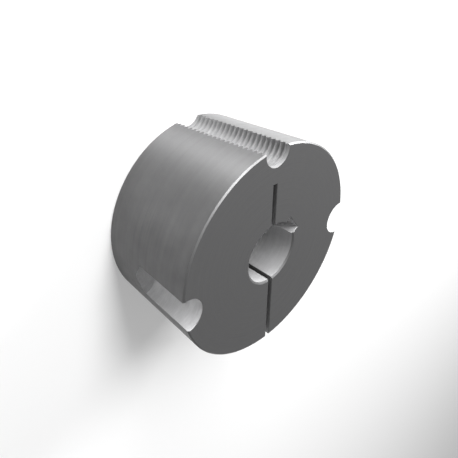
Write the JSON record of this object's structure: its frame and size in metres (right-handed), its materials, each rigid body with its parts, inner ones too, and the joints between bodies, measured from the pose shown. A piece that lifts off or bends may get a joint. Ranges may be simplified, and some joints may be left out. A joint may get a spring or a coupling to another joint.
{
  "type": "taper bush",
  "caption": "Split taper bush with a keyed bore that clamps a hub to a shaft, with half screw holes round its large face.",
  "frame": {"origin": "on the bore's axis, in the plane of the small face that the bush stands on", "axes": "+Z along the bore from the small face to the large face, +Y from the axis towards the jacking thread"},
  "size_m": [0.0854, 0.0853, 0.0444],
  "materials": {
    "machined_iron": "fine turned grey iron, with milled slits and a drilled and tapped edge"
  },
  "bodies": {
    "root": {"taper_bush": "machined_iron"}
  },
  "joints": []
}
